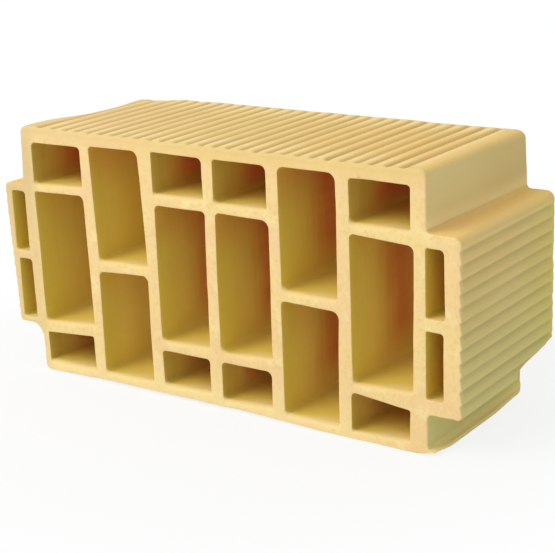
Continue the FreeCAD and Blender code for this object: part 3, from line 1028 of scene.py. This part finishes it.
def skin_colour(nodes, clay):
    """Die skin: long faint streaks, a green tinge low down, tints on the top, and painted light: warm
    bounce on the ledges, highlights on the ridges and along the top's right edge, and paler corners and
    foot.
    """
    skin = nodes.mix(nodes.ramp(clay.streaks, *STREAK_AT), SKIN_SHADE, SKIN)
    skin = nodes.mix(nodes.part(clay.broad, *SKIN_CREAM_AT), skin, CREAM)
    skin = nodes.mix(nodes.times(clay.low, GREEN_SHARE), skin, SKIN_GREEN)
    # Side walls over the noses, with painted light low down on them, where shade falls in the corner over
    # the ledge
    side = nodes.times(nodes.less(clay.upper, clay.faces_up), SIDE_SHARE)
    side_colour = nodes.mix(nodes.ramp(clay.y, *SIDE_AT), SIDE_FRONT, SIDE_BACK)
    # Painted light where the side walls meet the ledges, against the shade in the corner
    painted_light_over_step = nodes.rest(nodes.ramp(clay.z, *PAINTED_LIGHT_OVER_STEP_AT))
    side_colour = nodes.mix(painted_light_over_step, side_colour, CREAM_PALE)
    skin = nodes.mix(nodes.math("MAXIMUM", side, 0.0), skin, side_colour)
    # Top, from left to right, with a painted highlight along its right edge
    on_top = nodes.times(clay.upper, clay.faces_up)
    pink = nodes.times(nodes.rest(clay.to_right), PINK_SHARE)
    amber = nodes.part(clay.x, *AMBER_AT)
    # Painted highlight along the right edge of the top
    highlight_band = nodes.less(nodes.ramp(clay.x, *HIGHLIGHT_BAND_START_AT), nodes.ramp(clay.x, *HIGHLIGHT_BAND_END_AT))
    highlight_band = nodes.times(highlight_band, HIGHLIGHT_BAND_SHARE)
    for share, tint in ((pink, SKIN_PINK), (amber, SKIN_AMBER), (highlight_band, CREAM_PALE)):
        skin = nodes.mix(nodes.times(on_top, share), skin, tint)
    # Sides, ledges of the noses with painted warm bounce light, painted highlights on the ridges between
    # the flutes, and painted light along the foot
    olive = nodes.part(clay.y, *OLIVE_AT)
    skin = nodes.mix(nodes.times(olive, nodes.rest(clay.upper)), skin, SKIN_OLIVE)
    # Painted warm bounce light on the ledges of the noses
    ledge = nodes.less(clay.faces_up, nodes.ramp(clay.z, *LEDGE_END_AT))
    ledge = nodes.times(ledge, nodes.ramp(clay.z, *LEDGE_START_AT))
    ledge = nodes.math("MAXIMUM", nodes.times(ledge, LEDGE_SHARE), 0.0)
    skin = nodes.mix(ledge, skin, SKIN_PAINTED_BOUNCE_LIGHT)
    # Painted highlight on the ridges between the flutes
    skin = nodes.mix(nodes.times(clay.ridge, RIDGE_HIGHLIGHT_SHARE), skin, CREAM_RIDGE_HIGHLIGHT)
    # Painted light along the bottom of the skin, against the shade next to the floor
    foot_painted_light = nodes.times(nodes.rest(nodes.ramp(clay.z, *FOOT_PAINTED_LIGHT_AT)), FOOT_PAINTED_LIGHT_SHARE)
    return nodes.mix(foot_painted_light, skin, CREAM_PALE)


def wall_colour(nodes, clay):
    """Cell walls: painted shade, redder deep inside and browner near the tops, painted light that pales
    them on the way in, and floors painted cream in front where light falls on them.
    """
    wavering = nodes.plus(clay.depth, nodes.times(nodes.less(clay.broad, NOISE_MIDDLE), BROAD_WAVER))
    wavering = nodes.plus(wavering, nodes.times(nodes.less(clay.bands, NOISE_MIDDLE), BAND_WAVER))
    small = nodes.attribute("small")
    near_wall = nodes.mix(small, CELL_NEAR, SMALL_NEAR)
    middle_wall = nodes.mix(small, CELL_MIDDLE, SMALL_MIDDLE)
    deep_wall = nodes.mix(small, CELL_DEEP, SMALL_DEEP)
    wall = nodes.mix(nodes.ramp(wavering, *MIDDLE_AT), near_wall, middle_wall)
    # Painted light: walls paler on the way in, and lower walls creamier deeper inside
    pale = nodes.times(nodes.attribute("pale"), nodes.ramp(clay.depth, *WALL_PAINTED_LIGHT_AT))
    wall = nodes.mix(pale, wall, CELL_PAINTED_LIGHT)
    wall = nodes.mix(nodes.times(clay.low, nodes.part(clay.depth, *LOW_WALL_PAINTED_LIGHT_AT)), wall, CREAM)
    # Painted shade: the walls turn red-brown from some way inside the cells
    start = nodes.attribute("deep_painted_shade_start")
    deep_shade_in = nodes.ramp(wavering, start, nodes.plus(start, DEEP_PAINTED_SHADE_LENGTH * MM))
    wall = nodes.mix(nodes.times(deep_shade_in, nodes.attribute("deep_painted_shade")), wall, deep_wall)
    # Painted shade: walls browner near the tops of the cells, under the ceiling
    wall = nodes.mix(nodes.attribute("shade"), wall, CELL_TOP_PAINTED_SHADE, "MULTIPLY")
    wall = nodes.mix(nodes.part(clay.streaks, *WALL_STREAK_AT), wall, CELL_NEAR)
    wall = nodes.mix(nodes.times(clay.faces_up, FLOOR_SHARE), wall, CELL_FLOOR)
    # Painted light: floors cream near the front where light falls in, reaching further in towards the right
    across = nodes.ramp(nodes.attribute("across"), *FLOOR_ACROSS_AT)
    floor_light_reach = nodes.plus(FLOOR_PAINTED_LIGHT_REACH, nodes.times(across, FLOOR_PAINTED_LIGHT_GROWTH))
    floor_painted_light = nodes.rest(nodes.ramp(clay.depth, FLOOR_PAINTED_LIGHT_START, floor_light_reach))
    floor_painted_light = nodes.times(nodes.times(clay.faces_up, floor_painted_light), FLOOR_PAINTED_LIGHT_SHARE)
    return nodes.mix(floor_painted_light, wall, CREAM)


def clay_colour(nodes, clay):
    """Skin and cell walls, the cut ends and the break over them, dust and painted shade in the flutes,
    painted highlights on the ends of the top's ridges, and fine specks.
    """
    base = nodes.mix(nodes.attribute("cell_wall"), skin_colour(nodes, clay), wall_colour(nodes, clay))
    broken = nodes.attribute("broken")
    reach = nodes.plus(CUT_DEPTH * MM, nodes.attribute("cut_width"))
    near_cut = nodes.rest(nodes.ramp(clay.depth, CUT_DEPTH * MM, reach))
    base = nodes.mix(nodes.math("MAXIMUM", near_cut, broken), base, cut_colour(nodes, clay))
    # Painted highlights on the ends of the ridges on the top, and dust and painted shade in the flutes,
    # thickest there near the cut ends
    near_end = nodes.rest(nodes.ramp(clay.depth, *NEAR_END_AT))
    # Painted highlight on the front ends of the top's ridges
    ridge_end_highlight = nodes.times(nodes.times(clay.ridge, near_end), RIDGE_END_HIGHLIGHT_SHARE)
    base = nodes.mix(nodes.times(ridge_end_highlight, clay.faces_up), base, CREAM_PALE)
    dust_and_shade = nodes.plus(TOP_DUST_AND_SHADE_SHARE, nodes.times(near_end, END_DUST_AND_SHADE_SHARE))
    dust_and_shade = nodes.plus(DUST_AND_SHADE_SHARE, nodes.times(clay.faces_up, dust_and_shade))
    dust_and_shade = nodes.times(nodes.times(dust_and_shade, nodes.attribute("groove")), nodes.rest(broken))
    base = nodes.mix(dust_and_shade, base, nodes.mix(clay.faces_up, GROOVE_SHADE, GROOVE_DUST_AND_SHADE))
    return nodes.mix(nodes.part(clay.grain, *SPECK_AT), base, SPECK)


def clay_material():
    """Unglazed fired clay with a fine grain, faint streaks and pores."""
    material = bpy.data.materials.new("fired_clay")
    nodes = Nodes(material)
    clay = ClayFields(nodes)
    pores = nodes.add("ShaderNodeTexVoronoi", {"Vector": clay.place, "Scale": PORE_SCALE}, feature="F1")
    pits = nodes.ramp(pores.outputs["Distance"], *PIT_AT)
    relief = nodes.plus(nodes.times(clay.grain, GRAIN_RELIEF), nodes.times(clay.streaks, STREAK_RELIEF))
    relief = nodes.plus(relief, nodes.times(pits, PIT_RELIEF))
    bump = nodes.add("ShaderNodeBump", {
        "Height": relief,
        "Strength": BUMP_STRENGTH,
        "Distance": BUMP_DISTANCE,
    })
    surface = nodes.add("ShaderNodeBsdfPrincipled", {
        "Base Color": clay_colour(nodes, clay),
        "Roughness": nodes.plus(LEAST_ROUGHNESS, nodes.times(clay.patches, ROUGHNESS_RANGE)),
        "Specular IOR Level": SPECULAR,
        "Normal": bump.outputs["Normal"],
    })
    nodes.add("ShaderNodeOutputMaterial", {"Surface": surface.outputs["BSDF"]})
    return material


# Studio
FLOOR_SIZE = 14.0
FLOOR_COLOUR = (0.86, 0.86, 0.85, 1)
FLOOR_SHADOW_SHARE = 0.18
FLOOR_SHADOW_REACH = (0.22, 0.42)
BACKGROUND_GLOW = 1.0
SKY_COLOUR = (0.95, 1.0, 0.98, 1)
SKY_STRENGTH = 0.67
KEY_PLACE = (-0.8, -1.6, 2.0)
KEY_SIZE = 1.6
KEY_POWER = 35.0
KEY_COLOUR = (1.0, 0.97, 0.92)


def camera_ray(nodes):
    """1 for rays that show the background itself, also in gloss and glass."""
    path = nodes.add("ShaderNodeLightPath").outputs
    seen = nodes.math("MAXIMUM", path["Is Camera Ray"], path["Is Glossy Ray"])
    return nodes.math("MAXIMUM", seen, path["Is Transmission Ray"])


def make_floor():
    """Pale floor that reads as white to the camera and keeps the block's soft shadow."""
    bpy.ops.mesh.primitive_plane_add(size=FLOOR_SIZE, location=(0, 0, 0))
    floor = bpy.context.object
    floor.name = "studio_floor"
    material = bpy.data.materials.new("studio_floor")
    nodes = Nodes(material)
    plain = nodes.add("ShaderNodeBsdfDiffuse", {"Color": FLOOR_COLOUR})
    glow = nodes.add("ShaderNodeEmission", {"Color": WHITE, "Strength": BACKGROUND_GLOW})
    place = nodes.add("ShaderNodeTexCoord").outputs["Object"]
    distance = nodes.add("ShaderNodeVectorMath", {0: place}, operation="LENGTH").outputs["Value"]
    near = nodes.rest(nodes.ramp(distance, *FLOOR_SHADOW_REACH))
    shadow = nodes.times(near, FLOOR_SHADOW_SHARE)
    glow_share = nodes.times(camera_ray(nodes), nodes.rest(shadow))
    shown = nodes.add("ShaderNodeMixShader", {0: glow_share, 1: plain.outputs[0], 2: glow.outputs[0]})
    nodes.add("ShaderNodeOutputMaterial", {"Surface": shown.outputs[0]})
    floor.data.materials.append(material)


def make_light():
    """Even sky that reads as white to the camera, and a large soft lamp at the front left."""
    world = bpy.data.worlds.new("studio")
    nodes = Nodes(world)
    sky = nodes.add("ShaderNodeBackground", {"Color": SKY_COLOUR, "Strength": SKY_STRENGTH})
    white = nodes.add("ShaderNodeBackground", {"Color": WHITE, "Strength": BACKGROUND_GLOW})
    shown = nodes.add("ShaderNodeMixShader", {0: camera_ray(nodes), 1: sky.outputs[0], 2: white.outputs[0]})
    nodes.add("ShaderNodeOutputWorld", {"Surface": shown.outputs[0]})
    bpy.context.scene.world = world
    key = bpy.data.lights.new("key", "AREA")
    key.size = KEY_SIZE
    key.energy = KEY_POWER
    key.color = KEY_COLOUR
    lamp = add_object("key", key)
    lamp.location = KEY_PLACE
    target = Vector((0, 0, HEIGHT / 2 * MM))
    lamp.rotation_euler = (target - Vector(KEY_PLACE)).to_track_quat("-Z", "Y").to_euler()


# Camera, as solved from the corners of the cells in the picture
CAMERA_PLACE = (0.6395, -0.9026, 0.4206)
CAMERA_AZIMUTH = math.radians(35.03)
CAMERA_ELEVATION = math.radians(16.96)
CAMERA_ROLL = math.radians(2.15)
FOCAL_PIXELS = 1503.7
PICTURE_WIDTH = 555
SENSOR_WIDTH = 36


def make_camera():
    """Camera at the picture's viewing angle."""
    camera = bpy.data.cameras.new("camera")
    camera.sensor_width = SENSOR_WIDTH
    camera.lens = FOCAL_PIXELS / PICTURE_WIDTH * SENSOR_WIDTH
    level = math.cos(CAMERA_ELEVATION)
    forward = Vector((
        -math.sin(CAMERA_AZIMUTH) * level,
        math.cos(CAMERA_AZIMUTH) * level,
        -math.sin(CAMERA_ELEVATION),
    ))
    turn = forward.to_track_quat("-Z", "Y").to_matrix() @ Matrix.Rotation(-CAMERA_ROLL, 3, "Z")
    holder = add_object("camera", camera)
    holder.matrix_world = Matrix.Translation(CAMERA_PLACE) @ turn.to_4x4()
    bpy.context.scene.camera = holder


block = build_block()
block.data.materials.append(clay_material())
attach(block, "root")
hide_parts(NODE)
make_floor()
make_light()
make_camera()
bpy.context.scene.view_settings.view_transform = "Standard"
